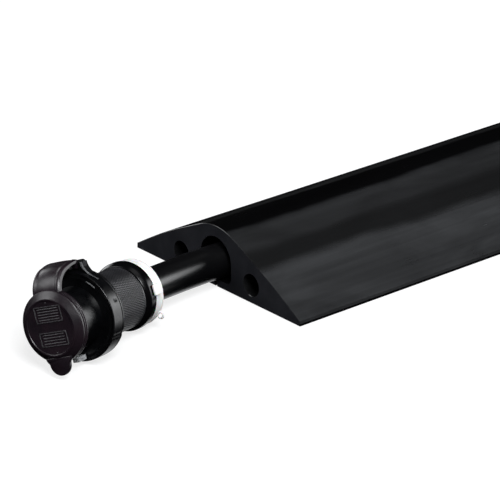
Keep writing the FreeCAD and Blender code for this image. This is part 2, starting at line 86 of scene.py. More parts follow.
# Lead, in metres: its route and diameter.
CABLE_DIAMETER = 0.02275
CABLE_EXIT = (-0.560836, -0.021009, 0.025361)
CABLE_ROUTE = [
    CABLE_EXIT,
    (-0.4954, 0.0, 0.017275),
    (-0.4262, 0.0, 0.017275),
    (0.4708, 0.0, 0.017275),
    (0.5400, 0.0, 0.017275),
    (0.607224, 0.014289, 0.025361),
]

# Housings, in millimetres.
SLEEVE_CENTRE = -18.6
FLANGE_RADIUS = 28.1
FLANGE_LENGTH = 11.6
FLANGE_RECESS = 0.8
SPIGOT_RADIUS = 16.6
SHELL_BORE = 14.8
NOSE_RADIUS = 17.3
NOSE_FLARE = 1.9
SHROUD_RADIUS = 21.3
SHROUD_BORE = 17.9
SLEEVE_RADIUS = 19.9
KNURL_PITCH = 1.6
KNURL_LEAN = 0.47
KNURL_DEPTH = 0.42
TAB_TURN = 88.0
EYE_TURN = 137.0
PIVOT_X = 5.0
PIVOT_Z = 30.6
EAR_RADIUS = 3.2
EAR_INNER = 7.9
EAR_OUTER = 10.5
ARM_HALF = 10.4
KNUCKLE_HALF = 7.6
KNUCKLE_RADIUS = 3.1
FACE_X = 38.6
TAB_HALF = 7.6
TAB_TIP = 30.0
ROUND = 168
LID_UPPER_PLATE = {"y": (-9.0, 10.9), "z": (3.5, 13.5), "ribs": 5}
LID_LOWER_PLATE = {"y": (-9.2, 11.3), "z": (-11.3, -2.5), "ribs": 4}

# Crown, lips and edges of the lid's arm: bulge per square millimetre, then millimetres, then
# shares of the arm's half-width.
ARM_CROWN = 0.0105
LIP_OVER = 0.45
LIP_UNDER = 0.5
LIP_START = 0.68
LIP_RUN = 0.12
ROUND_START = 0.88
ROUND_RUN = 0.12

# Skin of the duct, in millimetres: die lines as (y, width, height), ripples as (height,
# length along x, length along y), and where the skin starts.
DIE_LINES = [(-17.2, 0.8, -0.10), (-19.4, 1.0, 0.10), (-31.0, 4.0, -0.16), (-52.0, 7.0, 0.14),
             (-74.0, 1.0, -0.06), (18.0, 0.9, -0.08), (30.0, 4.0, -0.12), (55.0, 6.0, 0.12)]
RIPPLES = [(0.05, 41.0, 9.0), (0.04, 23.0, -13.0)]
SKIN_LOW = 4.5
SKIN_DEPTH = 6.0
FLANK_RUN = 67.0
DUCT_STATIONS = 116

# Painted reflection on the duct: pale bands in its colour that stand for reflected light. Each
# band is (place from the middle to the edge, level): none on the crown, a pale shoulder, a darker
# middle and a pale lower flank.
PAINTED_REFLECTION_BANDS = [(0.0, 0.0), (0.1, 0.0), (0.15, 0.5), (0.3, 0.4), (0.4, 0.1), (0.5, 0.1),
              (0.6, 0.9), (1.0, 0.7)]
PAINTED_REFLECTION_DRIFT = 0.028
DUCT_ROUGHNESS = (0.20, 0.28)
DUCT_OWN_BLACK = (0.0012, 0.0012, 0.0014)
DUCT_PAINTED_REFLECTION = (0.035, 0.036, 0.038)
OUTER_SIDE = 15.2
OUTER_HEIGHT = 35.0
UNDERSIDE = 1.6

# Stretches of a pattern along x, y and z.
EVEN = (1, 1, 1)
LENGTHWISE = (0.06, 1, 1)

# Further finishes that a piece in a slot can have, after the slot's own. The housing's last one
# is a pale painted highlight for its lip beads and rib.
SECOND_FINISH = {"lid_black": ["lid_raised"], "housing_black": ["housing_matt", "housing_painted_highlight"]}

# Light cards round the set: direction, half-angle to the edge in degrees, softness in degrees,
# radiance. The two below the horizon stand for light that a floor throws back.
CARDS = [
    ((0.79, -0.52, 0.24), 14, 5, 4.2),
    ((0.59, 0.08, 0.80), 9, 7, 0.13),
    ((0.95, -0.22, 0.23), 9, 4, 3.7),
    ((0.93, -0.33, -0.12), 14, 5, 2.5),
    ((0.62, 0.42, -0.66), 13, 3, 1.0),
    ((-0.62, 0.57, 0.53), 14, 8, 4.8),
    ((0.08, 0.97, 0.16), 10, 6, 3.4),
    ((0.05, -0.11, 0.99), 12, 8, 0.8),
    ((-0.25, -0.62, 0.74), 11, 4, 24.0),
    ((-0.6, -0.7, 0.4), 62, 28, 0.03),
]
AMBIENT = 0.002
LIGHT_COLOUR = (0.97, 0.985, 1.0, 1)
FLOOR_SIZE = 90
FLOOR_DROP = 0.0003
FLOOR_GREY = 0.33
FLOOR_GLOW = 0.74


# ---------------------------------------------------------------- camera
def make_camera():
    """Camera at the viewing angle, turned round the duct's near end."""
    heading, down, roll = (math.radians(angle) for angle in (HEADING, ELEVATION, ROLL))
    near_end = Vector((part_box("duct_extrusion")[0].x, 0, 0))
    look = Vector((math.sin(heading) * math.cos(down), math.cos(heading) * math.cos(down),
                   -math.sin(down)))
    level = Vector((math.cos(heading), -math.sin(heading), 0))
    over = level.cross(look)
    right = level * math.cos(roll) + over * math.sin(roll)
    up = over * math.cos(roll) - level * math.sin(roll)
    place = near_end - look * CAMERA_DISTANCE + right * CAMERA_RIGHT + up * CAMERA_UP
    data = bpy.data.cameras.new("camera")
    data.lens = LENS
    data.sensor_width = 36.0
    data.clip_start = 0.05
    data.clip_end = 200.0
    camera = bpy.data.objects.new("camera", data)
    matrix = Matrix((right, up, -look)).transposed().to_4x4()
    matrix.translation = place
    camera.matrix_world = matrix
    bpy.context.scene.collection.objects.link(camera)
    bpy.context.scene.camera = camera


# ---------------------------------------------------------------- material helpers
def add(tree, kind, inputs=(), **settings):
    """New shader node. `inputs` maps its sockets to values or to other nodes' outputs."""
    node = tree.nodes.new("ShaderNode" + kind)
    for key, value in settings.items():
        setattr(node, key, value)
    for key, value in dict(inputs).items():
        if isinstance(value, bpy.types.NodeSocket):
            tree.links.new(value, node.inputs[key])
        else:
            node.inputs[key].default_value = value
    return node


def noise(tree, scale, detail=3.0, stretch=(1, 1, 1), distortion=0.0):
    """Noise from 0 to 1 over the object's own space, `scale` features to the metre."""
    where = add(tree, "TexCoord").outputs["Object"]
    mapped = add(tree, "Mapping", {"Vector": where, "Scale": stretch}).outputs["Vector"]
    inputs = {"Vector": mapped, "Scale": scale, "Detail": detail, "Distortion": distortion}
    return add(tree, "TexNoise", inputs).outputs["Fac"]


def levels(tree, value, low, high, low_to=0.0, high_to=1.0):
    """Value stretched from (low, high) to (low_to, high_to) and clamped."""
    inputs = {"Value": value, "From Min": low, "From Max": high, "To Min": low_to, "To Max": high_to}
    return add(tree, "MapRange", inputs).outputs["Result"]


def blend_colours(tree, share, dark, light):
    """Colour between dark and light by a share from 0 to 1."""
    node = add(tree, "Mix", {"Factor": share}, data_type="RGBA")
    for socket, colour in ((node.inputs[6], dark), (node.inputs[7], light)):
        if isinstance(colour, bpy.types.NodeSocket):
            tree.links.new(colour, socket)
        else:
            socket.default_value = (*colour, 1)
    return node.outputs[2]


def bump(tree, height, distance, strength=1.0, below=None):
    """Normal raised by a height map; distance in metres."""
    inputs = {"Height": height, "Distance": distance, "Strength": strength}
    if below is not None:
        inputs["Normal"] = below
    return add(tree, "Bump", inputs).outputs["Normal"]


def surface(name, dark, light, roughness, cloud, grain, **fixed):
    """Moulded surface: clouded colour and roughness over a fine grain.

    roughness is (low, high); cloud is (features to the metre, stretch); grain is
    (features to the metre, height in millimetres). fixed holds plain shader values.
    """
    made = bpy.data.materials.new(name)
    made.use_nodes = True
    tree = made.node_tree
    shader = tree.nodes["Principled BSDF"]
    clouds = noise(tree, cloud[0], 4.0, cloud[1], 0.4)
    share = levels(tree, clouds, 0.35, 0.68)
    tree.links.new(blend_colours(tree, share, dark, light), shader.inputs["Base Color"])
    rough = levels(tree, noise(tree, cloud[0] * 2.3, 5.0, cloud[1]), 0.3, 0.7, *roughness)
    tree.links.new(rough, shader.inputs["Roughness"])
    height = noise(tree, grain[0], 2.0)
    tree.links.new(bump(tree, height, grain[1] * MM), shader.inputs["Normal"])
    for key, value in fixed.items():
        shader.inputs[key.replace("_", " ")].default_value = value
    return made


def metal(name, dark, light, roughness, stretch):
    """Plated or drawn metal with fine lines one way."""
    made = surface(name, dark, light, roughness, (900, stretch), (5200, 0.006))
    made.node_tree.nodes["Principled BSDF"].inputs["Metallic"].default_value = 1.0
    return made


def ramp(tree, value, stops):
    """Value passed through a curve of (place, level) stops."""
    node = add(tree, "ValToRGB", {"Fac": value})
    elements = node.color_ramp.elements
    node.color_ramp.interpolation = "EASE"
    while len(elements) < len(stops):
        elements.new(1.0)
    for element, (place, level) in zip(elements, stops):
        element.position = place
        element.color = (level, level, level, 1)
    return node.outputs["Color"]


def maths(tree, operation, first, second=0.0):
    """One sum on two values."""
    node = add(tree, "Math", operation=operation)
    for socket, value in zip(node.inputs, (first, second)):
        if isinstance(value, bpy.types.NodeSocket):
            tree.links.new(value, socket)
        else:
            socket.default_value = value
    return node.outputs[0]


def painted_reflection_share(tree):
    """Share of painted reflection bands on the duct, alike on both flanks, and none inside the channel."""
    where = add(tree, "TexCoord").outputs["Object"]
    side = maths(tree, "ABSOLUTE", add(tree, "SeparateXYZ", {"Vector": where}).outputs["Y"])
    half_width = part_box("duct_extrusion")[1].y
    clouds = noise(tree, 30, 5.0, (0.35, 1, 1))
    drift = levels(tree, clouds, 0.3, 0.7, -PAINTED_REFLECTION_DRIFT, PAINTED_REFLECTION_DRIFT)
    place = maths(tree, "ADD", maths(tree, "DIVIDE", side, half_width), drift)
    bands = ramp(tree, place, PAINTED_REFLECTION_BANDS)
    patches = levels(tree, noise(tree, 38, 5.0, (0.4, 1, 1), 0.8), 0.33, 0.66, 0.66, 1.14)
    streaks = levels(tree, noise(tree, 300, 3.0, (0.02, 1, 1)), 0.3, 0.7, 0.85, 1.1)
    up = add(tree, "SeparateXYZ", {"Vector": where}).outputs["Z"]
    outside = maths(tree, "MAXIMUM", maths(tree, "GREATER_THAN", side, OUTER_SIDE * MM),
                    maths(tree, "GREATER_THAN", up, OUTER_HEIGHT * MM))
    share = maths(tree, "MULTIPLY", outside, maths(tree, "GREATER_THAN", up, UNDERSIDE * MM))
    mottled = maths(tree, "MULTIPLY", maths(tree, "MULTIPLY", bands, patches), streaks)
    return maths(tree, "MULTIPLY", mottled, share)


def duct_rubber():
    """Extruded rubber: die lines along X, painted reflection bands, and a fine skin grain."""
    made = surface("duct_rubber", (0.001, 0.001, 0.001), (0.001, 0.001, 0.001),
                   DUCT_ROUGHNESS, (24, (0.22, 1, 1)), (2600, 0.012))
    tree = made.node_tree
    shader = tree.nodes["Principled BSDF"]
    # Painted reflection: pale mottled bands mixed into the base colour across the flanks.
    painted_reflection = painted_reflection_share(tree)
    tree.links.new(blend_colours(tree, painted_reflection, DUCT_OWN_BLACK, DUCT_PAINTED_REFLECTION), shader.inputs["Base Color"])
    lines = noise(tree, 520, 3.0, (0.012, 1, 1))
    ripple = noise(tree, 30, 2.0, (0.5, 1, 1))
    grain = shader.inputs["Normal"].links[0].from_socket
    lined = bump(tree, lines, 0.00005, 0.4, grain)
    tree.links.new(bump(tree, ripple, 0.0008, 0.3, lined), shader.inputs["Normal"])
    return made


def cut_rubber():
    """The sawn end of the duct: matt, with faint saw marks."""
    made = surface("duct_cut_face", (0.0125, 0.0130, 0.0165), (0.0195, 0.0200, 0.0240),
                   (0.82, 0.95), (60, EVEN), (1800, 0.05))
    tree = made.node_tree
    shader = tree.nodes["Principled BSDF"]
    shader.inputs["Specular IOR Level"].default_value = 0.12
    marks = noise(tree, 900, 2.0, (1, 0.05, 0.9))
    grain = shader.inputs["Normal"].links[0].from_socket
    tree.links.new(bump(tree, marks, 0.00008, 0.6, grain), shader.inputs["Normal"])
    return made


def cable_materials():
    """Smooth jacket of the lead's cable."""
    return [surface("cable_jacket", (0.0015, 0.0015, 0.0018), (0.004, 0.004, 0.0045),
                    (0.27, 0.34), (45, LENGTHWISE), (2400, 0.012))]


def housing_materials():
    """Moulded black of the shells, its matt recess, and a pale painted highlight for its lip beads."""
    return [
        surface("housing_black", (0.0009, 0.0010, 0.0014), (0.0022, 0.0024, 0.0030),
                (0.26, 0.34), (120, EVEN), (3200, 0.012)),
        surface("housing_matt", (0.0008, 0.0009, 0.0012), (0.0018, 0.002, 0.0026),
                (0.6, 0.75), (160, EVEN), (1500, 0.03), Specular_IOR_Level=0.1),
        # Pale grey painted highlight, laid on the gussets' lip beads and the flange's rib.
        surface("housing_painted_highlight", (0.050, 0.052, 0.055), (0.130, 0.133, 0.138),
                (0.35, 0.5), (500, EVEN), (2600, 0.02)),
    ]


def lid_materials():
    """Warm black of the lid, the raised work on its face, and its seal."""
    return [
        surface("lid_black", (0.0085, 0.0055, 0.0085), (0.0150, 0.0085, 0.0125),
                (0.30, 0.38), (90, EVEN), (2600, 0.02)),
        surface("lid_raised", (0.030, 0.028, 0.031), (0.075, 0.070, 0.076),
                (0.40, 0.52), (700, EVEN), (2600, 0.02)),
        surface("seal_rubber", (0.010, 0.010, 0.010), (0.030, 0.030, 0.031),
                (0.6, 0.75), (150, EVEN), (2600, 0.03)),
    ]


def nylon_materials():
    """Grey nylon of the catch bar and white nylon of the lock rings."""
    return [
        surface("nylon_grey", (0.40, 0.41, 0.42), (0.56, 0.57, 0.58),
                (0.35, 0.5), (160, EVEN), (2200, 0.02)),
        surface("nylon_white", (0.88, 0.87, 0.85), (0.95, 0.95, 0.93),
                (0.3, 0.42), (120, EVEN), (1800, 0.015), Subsurface_Weight=0.15,
                Subsurface_Scale=0.002),
    ]


def inner_materials():
    """Plastic of the inserts and of the cores' insulation."""
    return [
        surface("insert_plastic", (0.020, 0.020, 0.022), (0.050, 0.050, 0.053),
                (0.5, 0.62), (140, EVEN), (2600, 0.03)),
        surface("core_insulation", (0.02, 0.02, 0.022), (0.05, 0.05, 0.055),
                (0.3, 0.4), (90, EVEN), (2200, 0.01)),
    ]


def sleeve_materials():
    """Black of the knurled sleeves and of the polished collars."""
    return [
        surface("sleeve_black", (0.011, 0.011, 0.0125), (0.024, 0.024, 0.027),
                (0.30, 0.38), (160, EVEN), (3600, 0.006)),
        surface("collar_gloss", (0.0012, 0.0012, 0.0016), (0.0028, 0.0028, 0.0032),
                (0.16, 0.24), (130, EVEN), (700, 0.004), Specular_IOR_Level=0.3),
    ]


def metal_materials():
    """Steel of the pin, steel of the small parts and brass of the contacts."""
    return [
        metal("steel_blackened", (0.006, 0.006, 0.007), (0.014, 0.014, 0.015), (0.35, 0.5), EVEN),
        metal("steel", (0.42, 0.42, 0.44), (0.66, 0.66, 0.68), (0.25, 0.4), (1, 0.1, 1)),
        metal("contact_brass", (0.62, 0.44, 0.20), (0.80, 0.62, 0.32), (0.22, 0.36), (0.1, 1, 1)),
    ]


def make_materials():
    """Every material by its name, in place of the plain ones."""
    for plain in list(bpy.data.materials):
        bpy.data.materials.remove(plain)
    made = [duct_rubber(), cut_rubber()] + cable_materials() + housing_materials()
    made += lid_materials() + nylon_materials() + inner_materials() + sleeve_materials()
    made += metal_materials()
    return {material.name: material for material in made}


# ---------------------------------------------------------------- mesh helpers
def housing_matrix(turn_joint, across=None):
    """Place of a housing: x along its sleeve's axis, and z over its hinge or upright."""
    joint = JOINTS[turn_joint]
    x = Vector(joint["axis"]).normalized()
    if across is None:
        across = Vector((0, 0, 1)).cross(x)
    y = (across - x * across.dot(x)).normalized()
    z = x.cross(y)
    matrix = Matrix((x, y, z)).transposed().to_4x4()
    matrix.translation = Vector(joint["pos_m"]) - x * SLEEVE_CENTRE * MM
    return matrix @ Matrix.Scale(MM, 4)


def eased(outline, steps=4):
    """Points of a closed outline whose third numbers say how far each corner is rounded."""
    points = []
    for index, corner in enumerate(outline):
        here = np.array(corner[:2], float)
        ease = corner[2] if len(corner) > 2 else 0.0
        if ease == 0.0:
            points.append(here)
            continue
        before = np.array(outline[index - 1][:2], float) - here
        after = np.array(outline[(index + 1) % len(outline)][:2], float) - here
        start = here + before / np.linalg.norm(before) * ease
        end = here + after / np.linalg.norm(after) * ease
        for step in range(steps + 1):
            t = step / steps
            points.append((1 - t) ** 2 * start + 2 * t * (1 - t) * here + t * t * end)
    return np.array(points)


def wrap_faces(rings, around, close_ends=False):
    """Quads between `rings` rings of `around` points, each ring closed on itself."""
    faces = []
    for ring in range(rings - 1):
        for k in range(around):
            after = (k + 1) % around
            faces.append((ring * around + k, ring * around + after,
                          (ring + 1) * around + after, (ring + 1) * around + k))
    if close_ends:
        faces.append(tuple(reversed(range(around))))
        faces.append(tuple(range((rings - 1) * around, rings * around)))
    return faces


def lathe(outline, warp=None, segments=ROUND):
    """Closed outline of (x, radius, ease) turned about x. warp(x, r, angle) may change r."""
    points = eased(outline)
    angle = np.arange(segments) * 2 * math.pi / segments
    x, a = np.meshgrid(points[:, 0], angle)
    r, _ = np.meshgrid(points[:, 1], angle)
    if warp is not None:
        r = warp(x, r, a)
    verts = np.stack([x, r * np.sin(a), r * np.cos(a)], -1).reshape(-1, 3)
    count = len(points)
    faces = []
    for s in range(segments):
        t = (s + 1) % segments
        for k in range(count):
            n = (k + 1) % count
            faces.append((s * count + k, s * count + n, t * count + n, t * count + k))
    return verts, faces


def prism(outline, low, high, axis="y", ease=0.5):
    """Closed outline carried from low to high, with its two rims rounded.

    The outline's plane is (x, z) for axis y, (y, z) for axis x and (x, y) for axis z.
    """
    order = {"x": (2, 0, 1), "y": (0, 2, 1), "z": (0, 1, 2)}[axis]
    points = eased(outline)
    centre = points.mean(axis=0)
    size = np.abs(points - centre).max()
    steps = [(low, ease), (low + ease * 0.3, ease * 0.3), (low + ease, 0.0),
             (high - ease, 0.0), (high - ease * 0.3, ease * 0.3), (high, ease)]
    rings = []
    for place, inset in steps:
        ring = centre + (points - centre) * (1 - inset / size)
        parts = [ring[:, 0], ring[:, 1], np.full(len(ring), place)]
        rings.append(np.stack([parts[k] for k in order], -1))
    return np.concatenate(rings), wrap_faces(len(rings), len(points), True)


def torus(centre, major, minor, around=40, across=16):
    """Ring of round section whose axis is x."""
    turn = Vector((0, 0, 1)).rotation_difference(Vector((1, 0, 0)))
    verts = []
    for i in range(around):
        a = i * 2 * math.pi / around
        for k in range(across):
            b = k * 2 * math.pi / across
            reach = major + minor * math.cos(b)
            point = Vector((reach * math.cos(a), reach * math.sin(a), minor * math.sin(b)))
            verts.append(tuple(turn @ point + Vector(centre)))
    faces = []
    for i in range(around):
        j = (i + 1) % around
        for k in range(across):
            n = (k + 1) % across
            faces.append((i * across + k, j * across + k, j * across + n, i * across + n))
    return np.array(verts), faces


def dome(centre, radius, height, around=20):
    """Low round boss that stands on the lid's face."""
    outline = [(-0.3, 0), (-0.3, radius), (0, radius), (height * 0.7, radius * 0.72), (height, 0)]
    verts, faces = lathe(outline, segments=around)
    return verts + np.array(centre), faces


def turned_about_x(shape, degrees):
    """Shape turned about x, from the top towards +y."""
    verts, faces = shape
    a = math.radians(degrees)
    y = verts[:, 1] * math.cos(a) + verts[:, 2] * math.sin(a)
    z = verts[:, 2] * math.cos(a) - verts[:, 1] * math.sin(a)
    return np.stack([verts[:, 0], y, z], -1), faces


def make_piece(name, shapes, matrix, materials, body, replaces, sharp=35.0):
    """One object from several closed shapes, riding on a body in place of CAD nodes.

    A shape is (points, faces), or (points, faces, which of the materials it has).
    """
    verts = []
    faces = []
    finish = []
    for points, polygons, *which in shapes:
        start = sum(len(v) for v in verts)
        verts.append(np.asarray(points, float))
        faces += [tuple(start + index for index in polygon) for polygon in polygons]
        finish += (which or [0]) * len(polygons)
    mesh = bpy.data.meshes.new(name)
    mesh.from_pydata([tuple(p) for p in np.concatenate(verts)], [], faces)
    mesh.polygons.foreach_set("material_index", finish)
    mesh.transform(matrix)
    work = bmesh.new()
    work.from_mesh(mesh)
    bmesh.ops.remove_doubles(work, verts=work.verts, dist=2e-6)
    bmesh.ops.recalc_face_normals(work, faces=work.faces)
    for face in work.faces:
        face.smooth = True
    work.to_mesh(mesh)
    work.free()
    mesh.set_sharp_from_angle(angle=math.radians(sharp))
    for material in materials:
        mesh.materials.append(material)
    piece = bpy.data.objects.new(name, mesh)
    bpy.context.scene.collection.objects.link(piece)
    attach(piece, body)
    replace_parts(piece, *replaces)
    return piece


# ---------------------------------------------------------------- duct
def arc_points(start, middle, end, count):
    """Points on the arc through three points, without the last one."""
    (ax, ay), (bx, by), (cx, cy) = start, middle, end
    d = 2 * (ax * (by - cy) + bx * (cy - ay) + cx * (ay - by))
    a2, b2, c2 = ax * ax + ay * ay, bx * bx + by * by, cx * cx + cy * cy
    ux = (a2 * (by - cy) + b2 * (cy - ay) + c2 * (ay - by)) / d
    uy = (a2 * (cx - bx) + b2 * (ax - cx) + c2 * (bx - ax)) / d
    radius = math.hypot(ax - ux, ay - uy)
    first = math.atan2(ay - uy, ax - ux)
    sweep = math.atan2(cy - uy, cx - ux) - first
    half = math.atan2(by - uy, bx - ux) - first
    sweep = (sweep + math.pi) % (2 * math.pi) - math.pi
    half = (half + math.pi) % (2 * math.pi) - math.pi
    if sweep * half < 0:
        sweep -= math.copysign(2 * math.pi, sweep)
    angles = [first + sweep * k / count for k in range(count)]
    return [(ux + radius * math.cos(a), uy + radius * math.sin(a)) for a in angles]


def line_points(start, end, count):
    """Points on a straight run, without the last one."""
    start, end = np.array(start, float), np.array(end, float)
    return [tuple(start + (end - start) * k / count) for k in range(count)]


def duct_section():
    """Whole outline of the duct in (y, z), running into the channel through the slit."""
    half_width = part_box("duct_extrusion")[1].y / MM
    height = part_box("duct_extrusion")[1].z / MM
    edge = np.array([half_width, EDGE_HEIGHT])
    shoulder = np.array([SHOULDER_Y, SHOULDER_Z])
    run = shoulder - edge
    out = np.array([run[1], -run[0]]) / np.linalg.norm(run)
    middle = (edge + shoulder) / 2 + out * FLANK_BULGE
    spring = CHANNEL_TOP - CHANNEL_HALF
    soft = CHANNEL_CORNER * (1 - math.sqrt(0.5))
    inner = CHANNEL_HALF - CHANNEL_CORNER
    floor = CHANNEL_FLOOR
    flip = np.array([-1, 1])
    points = line_points((SLIT_HALF, 0), (half_width, 0), 12)
    points += line_points((half_width, 0), edge, 3)
    points += arc_points(edge, middle, shoulder, 46)
    points += arc_points(shoulder, (0, height), shoulder * flip, 30)
    points += arc_points(shoulder * flip, middle * flip, edge * flip, 46)
    points += line_points(edge * flip, (-half_width, 0), 3)
    points += line_points((-half_width, 0), (-SLIT_HALF, 0), 12)
    points += line_points((-SLIT_HALF, 0), (-SLIT_HALF, floor), 3)
    points += line_points((-SLIT_HALF, floor), (-inner, floor), 3)
    points += arc_points((-inner, floor), (soft - CHANNEL_HALF, floor + soft),
                         (-CHANNEL_HALF, floor + CHANNEL_CORNER), 6)
    points += line_points((-CHANNEL_HALF, floor + CHANNEL_CORNER), (-CHANNEL_HALF, spring), 4)
    points += arc_points((-CHANNEL_HALF, spring), (0, CHANNEL_TOP), (CHANNEL_HALF, spring), 28)
    points += line_points((CHANNEL_HALF, spring), (CHANNEL_HALF, floor + CHANNEL_CORNER), 4)
    points += arc_points((CHANNEL_HALF, floor + CHANNEL_CORNER),
                         (CHANNEL_HALF - soft, floor + soft), (inner, floor), 6)
    points += line_points((inner, floor), (SLIT_HALF, floor), 3)
    points += line_points((SLIT_HALF, floor), (SLIT_HALF, 0), 3)
    return np.array(points)


def outward(section):
    """Unit normals of a closed outline, away from the material."""
    ahead = np.roll(section, -1, 0) - section
    behind = section - np.roll(section, 1, 0)
    ahead /= np.linalg.norm(ahead, axis=1)[:, None]
    behind /= np.linalg.norm(behind, axis=1)[:, None]
    tangent = ahead + behind
    tangent /= np.linalg.norm(tangent, axis=1)[:, None]
    return np.stack([tangent[:, 1], -tangent[:, 0]], -1)


def duct_relief(x, y, z):
    """Height of the extruded skin over the plain outline: die lines and a slow ripple."""
    side = np.abs(y)
    outline = SHOULDER_Z * (1 - (side - SHOULDER_Y) / FLANK_RUN)
    skin = (z > SKIN_LOW) * (z > outline - SKIN_DEPTH)
    lines = 0.0
    for place, width, height in DIE_LINES:
        lines = lines + height * np.exp(-((y - place) / width) ** 2)
    ripple = sum(height * np.sin(x / along + y / over) for height, along, over in RIPPLES)
    return np.where(skin, lines + ripple, 0.0)


def make_duct(materials):
    """The ramp: one extrusion with a main channel, two side bores and cut ends."""
    low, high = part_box("duct_extrusion")
    section = duct_section()
    normals = outward(section)
    stations = np.linspace(low.x / MM + CUT_EDGE, high.x / MM - CUT_EDGE, DUCT_STATIONS)
    rings = [(low.x / MM, -CUT_EDGE)] + [(x, 0.0) for x in stations] + [(high.x / MM, -CUT_EDGE)]
    verts = []
    for x, inset in rings:
        relief = duct_relief(x, section[:, 0], section[:, 1])
        moved = section + normals * (inset + relief)[:, None]
        moved[:, 1] = np.maximum(moved[:, 1], 0.0)
        verts.append(np.column_stack([np.full(len(section), x), moved]))
    shapes = [(np.concatenate(verts), wrap_faces(len(rings), len(section)))]
    around = 40
    angle = np.arange(around) * 2 * math.pi / around
    middle = len(rings) // 2
    for side in (-1, 1):
        tube = []
        for x, inset in rings[:2] + rings[middle - 1:middle + 1] + rings[-2:]:
            radius = BORE_RADIUS - inset
            ring = [np.full(around, x), side * BORE_Y + radius * np.cos(angle),
                    BORE_Z + radius * np.sin(angle)]
            tube.append(np.column_stack(ring))
        shapes.append((np.concatenate(tube), wrap_faces(len(tube), around)))
    piece = make_piece("duct", shapes, Matrix.Scale(MM, 4), materials, "duct",
                       ["duct_extrusion"], 40.0)
    close_ends(piece.data)
    return piece


def close_ends(mesh):
    """Fills the duct's two cut ends round its bores and gives them the cut material."""
    work = bmesh.new()
    work.from_mesh(mesh)
    for side in (-1, 1):
        edges = [e for e in work.edges if e.is_boundary and e.verts[0].co.x * side > 0]
        filled = bmesh.ops.triangle_fill(work, edges=edges, use_beauty=True)
        for face in filled["geom"]:
            if isinstance(face, bmesh.types.BMFace):
                face.material_index = 1
                face.smooth = False
    bmesh.ops.recalc_face_normals(work, faces=work.faces)
    work.to_mesh(mesh)
    work.free()


# ---------------------------------------------------------------- lead
def make_cable(material):
    """The heavy cable on one smooth curve."""
    curve = bpy.data.curves.new("power_cable_run", "CURVE")
    curve.dimensions = "3D"
    curve.resolution_u = 20
    curve.bevel_depth = CABLE_DIAMETER / 2
    curve.bevel_resolution = 12
    curve.use_fill_caps = True
    line = curve.splines.new("NURBS")
    line.points.add(len(CABLE_ROUTE) - 1)
    for point, place in zip(line.points, CABLE_ROUTE):
        point.co = (*place, 1)
    line.order_u = 3
    line.use_endpoint_u = True
    curve.materials.append(material)
    piece = bpy.data.objects.new("power_cable_run", curve)
    bpy.context.scene.collection.objects.link(piece)
    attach(piece, "lead")
    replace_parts(piece, "power_cable")
    return piece


# ---------------------------------------------------------------- parts both housings have
def knurled_sleeve():
    """Sleeve with a fine knurl between two plain bands, cut deeper one way than the other."""
    units = round(2 * math.pi * SLEEVE_RADIUS / KNURL_PITCH)
    segments = units * 6
    front, rear = -3.4, -33.9
    steps = round((front - rear) / KNURL_PITCH * KNURL_LEAN) * 8
    cross_floor = 0.45
    lift = 0.08
    ends_front = [(-14.6, 15.6), (-14.6, 16.65), (-1.9, 16.65), (-1.9, 19.3), (-2.3, 19.75),
                  (-2.8, 19.9), (-3.2, 19.9)]
    ends_rear = [(-34.1, 19.9), (-35.0, 19.9), (-35.4, 19.5), (-35.4, 17.5), (-40.4, 17.5),
                 (-40.4, 13.4), (-33.2, 13.4), (-33.2, 15.6)]
    knurl_x = np.linspace(front, rear, steps + 1)
    outline = ends_front + [(x, SLEEVE_RADIUS) for x in knurl_x] + ends_rear
    start = len(ends_front)

    def cut(x, r, a):
        u = a * units / (2 * math.pi)
        v = (x - front) / KNURL_PITCH * KNURL_LEAN
        first = 1 - 2 * np.abs((u + v) % 1 - 0.5)
        second = 1 - 2 * np.abs((u - v) % 1 - 0.5)
        cross = cross_floor + (1 - cross_floor) * second
        depth = KNURL_DEPTH * (1 - np.minimum(first, cross))
        column = np.zeros(x.shape[1], bool)
        column[start:start + steps + 1] = True
        return np.where(column[None, :], r - depth + lift, r)

    return lathe(outline, cut, segments)


def rear_collar():
    """Polished collar behind the sleeve."""
    return lathe([(-35.5, 17.5), (-35.5, 20.3, 0.4), (-38.4, 22.1, 0.9), (-43.6, 22.1, 0.5),
                  (-44.6, 21.3, 0.3), (-44.6, 16.5), (-52.4, 16.5, 0.4), (-52.4, 13.4),
                  (-40.5, 13.4), (-40.5, 17.5)])


def lock_ring():
    """Nylon ring with a square tab over the collar and a small pull eye."""
    band = lathe([(-44.9, 16.8), (-44.9, 21.4, 0.5), (-47.6, 21.4, 0.2), (-47.9, 21.1, 0.2),
                  (-49.9, 21.1, 0.2), (-50.2, 21.4, 0.2), (-52.8, 21.4, 0.5), (-52.8, 16.8)])
    tab = prism([(-47.3, -3.5, 0.5), (-47.3, 3.5, 0.5), (-40.8, 3.5, 0.8), (-40.8, -3.5, 0.8)],
                22.4, 23.7, "z", 0.4)
    root = prism([(-47.3, -3.5, 0.5), (-47.3, 3.5, 0.5), (-44.9, 3.5, 0.3), (-44.9, -3.5, 0.3)],
                 20.2, 23.3, "z", 0.3)
    eye = torus((-51.6, 0, 23.0), 1.9, 0.7)
    turns = ((tab, TAB_TURN), (root, TAB_TURN), (eye, EYE_TURN))
    return [band] + [turned_about_x(shape, degrees) for shape, degrees in turns]


# ---------------------------------------------------------------- socket housing
def flange_warp(x, r, a):
    """Small moulded features of the flange's outer band: a dimple and a shallow gap."""
    dimple_depth, dimple_turn, dimple_x, per_degree = 0.7, 78, 5.2, 0.49
    gap_depth, gap_turn, gap_reach = 0.45, 124, 3.0
    degrees = np.degrees(a)
    outer = (r > FLANGE_RADIUS - 2.5) & (x > -0.5) & (x < FLANGE_LENGTH + 0.5)
    off_turn = (degrees - dimple_turn) * per_degree
    dimple = dimple_depth * np.exp(-off_turn ** 2 - (x - dimple_x) ** 2)
    gap = gap_depth * np.exp(-((degrees - gap_turn) / gap_reach) ** 4)
    return np.where(outer, r - dimple - gap, r)


